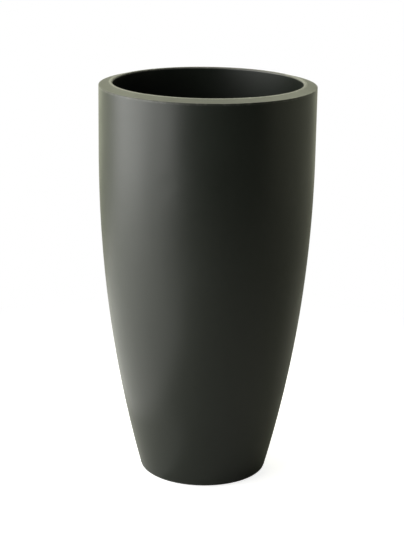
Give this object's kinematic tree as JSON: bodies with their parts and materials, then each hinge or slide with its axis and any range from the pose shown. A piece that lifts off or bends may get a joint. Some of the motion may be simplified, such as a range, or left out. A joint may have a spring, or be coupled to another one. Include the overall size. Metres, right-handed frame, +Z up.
{
  "type": "tall planter",
  "caption": "Tall round planter with a tapering foot, a sloping rim collar, a drained base and a lift-out liner with swing-up handles on an inner shelf.",
  "frame": {"origin": "centre of the footprint, on the floor", "axes": "+Z up along the planter's axis; the liner's handles are at -X and +X"},
  "size_m": [0.4, 0.4, 0.75],
  "materials": {
    "shell_finish": "satin charcoal paint on glass-fibre laminate",
    "collar_finish": "satin charcoal paint on glass-fibre laminate",
    "raw_laminate": "unpolished glass-fibre laminate",
    "plug_rubber": "matte",
    "pad_rubber": "matte",
    "shelf_plastic": "grained moulded plastic",
    "liner_plastic": "grained moulded plastic",
    "handle_plastic": "smooth moulded plastic"
  },
  "bodies": {
    "planter": {"shell": "shell_finish", "rim_collar": "collar_finish", "base_pan": "raw_laminate", "ledge": "raw_laminate", "front_left_pad": "pad_rubber", "front_right_pad": "pad_rubber", "rear_left_pad": "pad_rubber", "rear_right_pad": "pad_rubber"},
    "shelf": {"shelf": "shelf_plastic"},
    "liner": {"liner": "liner_plastic"},
    "left_handle": {"left_handle": "handle_plastic"},
    "right_handle": {"right_handle": "handle_plastic"},
    "drain_plug": {"drain_plug": "plug_rubber"}
  },
  "joints": [
    {"name": "shelf_lift", "type": "slide", "parent": "planter", "child": "shelf", "axis": [0, 0, 1], "range_m": [0, 0.44]},
    {"name": "liner_lift", "type": "slide", "parent": "shelf", "child": "liner", "axis": [0, 0, 1], "range_m": [0, 0.42]},
    {"name": "right_handle_swing", "type": "hinge", "parent": "liner", "child": "right_handle", "pos_m": [0.10572, 0, 0.6653], "axis": [0, -1, 0], "range_deg": [0, 90]},
    {"name": "left_handle_swing", "type": "hinge", "parent": "liner", "child": "left_handle", "pos_m": [-0.10572, 0, 0.6653], "axis": [0, 1, 0], "range_deg": [0, 90]},
    {"name": "plug_pull", "type": "slide", "parent": "planter", "child": "drain_plug", "axis": [0, 0, -1], "range_m": [0, 0.03]}
  ]
}
